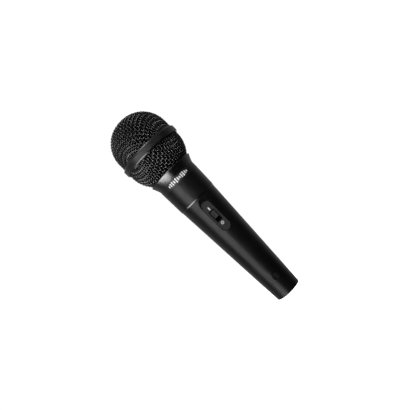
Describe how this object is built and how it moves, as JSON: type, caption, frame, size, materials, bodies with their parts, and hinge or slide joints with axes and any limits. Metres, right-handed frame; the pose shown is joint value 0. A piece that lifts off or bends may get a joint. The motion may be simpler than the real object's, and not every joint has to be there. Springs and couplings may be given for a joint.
{
  "type": "dynamic microphone",
  "caption": "Hand-held dynamic vocal microphone with a tapered handle, slide switch, screw-on ball grille of woven wire and a three-pole socket in the tail.",
  "frame": {"origin": "centre of the tail's end face, the plane of the socket's mouth", "axes": "+Z along the microphone's axis from tail to head; the switch and the socket's screw face -Y; +X to the right when the switch faces the viewer"},
  "size_m": [0.0542, 0.0542, 0.1912],
  "materials": {
    "handle_paint": "satin",
    "collar_paint": "gloss",
    "band_paint": "satin",
    "plate_paint": "matte",
    "wire_mesh": "satin",
    "knob_plastic": "satin",
    "switch_plastic": "matte",
    "insert_plastic": "matte",
    "contact_plating": "polished",
    "tinned_brass": "satin",
    "steel": "satin",
    "magnet_alloy": "satin",
    "washer_nylon": "matte",
    "foam": "open-cell",
    "capsule_plastic": "satin",
    "soft_rubber": "matte",
    "board": "satin",
    "copper_coil": "satin",
    "film": "clear satin",
    "felt": "felted",
    "lead_sheath": "satin"
  },
  "bodies": {
    "barrel": {"handle": "handle_paint", "switch_plate": "plate_paint", "switch_housing": "switch_plastic", "switch_terminals": "tinned_brass", "switch_screws": "steel", "socket_insert": "insert_plastic", "socket_contact_1": "contact_plating", "socket_contact_2": "contact_plating", "socket_contact_3": "contact_plating", "ground_ring": "tinned_brass", "socket_screw": "steel", "neck_sleeve": "handle_paint", "rear_chamber": "capsule_plastic", "shock_mount": "soft_rubber", "capsule_housing": "capsule_plastic", "terminal_board": "board", "magnet_yoke": "steel", "magnet": "magnet_alloy", "pole_piece": "steel", "diaphragm_surround": "film", "clamp_ring": "capsule_plastic", "front_cap": "capsule_plastic", "felt_disc": "felt", "capsule_leads": "lead_sheath", "connector_leads": "lead_sheath"},
    "knob": {"switch_knob": "knob_plastic"},
    "washer": {"thread_washer": "washer_nylon"},
    "grille": {"grille_collar": "collar_paint", "grille_basket": "wire_mesh", "grille_band": "band_paint", "grille_dome": "wire_mesh", "foam_liner_top": "foam", "foam_liner_bottom": "foam"},
    "diaphragm": {"diaphragm_dome": "film", "voice_coil": "copper_coil"}
  },
  "joints": [
    {"name": "switch_slide", "type": "slide", "parent": "barrel", "child": "knob", "axis": [0, 0, -1], "range_m": [0, 0.0029]},
    {"name": "grille_rise", "type": "slide", "parent": "barrel", "child": "washer", "axis": [0, 0, 1], "range_m": [0, 0.005]},
    {"name": "grille_turn", "type": "hinge", "parent": "washer", "child": "grille", "pos_m": [0, 0, 0.122], "axis": [0, 0, 1], "range_deg": [0, 1440]},
    {"name": "diaphragm_move", "type": "slide", "parent": "barrel", "child": "diaphragm", "axis": [0, 0, 1], "range_m": [-0.0003, 0.0003], "stiffness_N_per_m": 100, "deforming": ["diaphragm_surround"]}
  ],
  "couplings": [
    {"joint": "grille_rise", "follows": "grille_turn", "m_per_rad": 0.00019894}
  ]
}
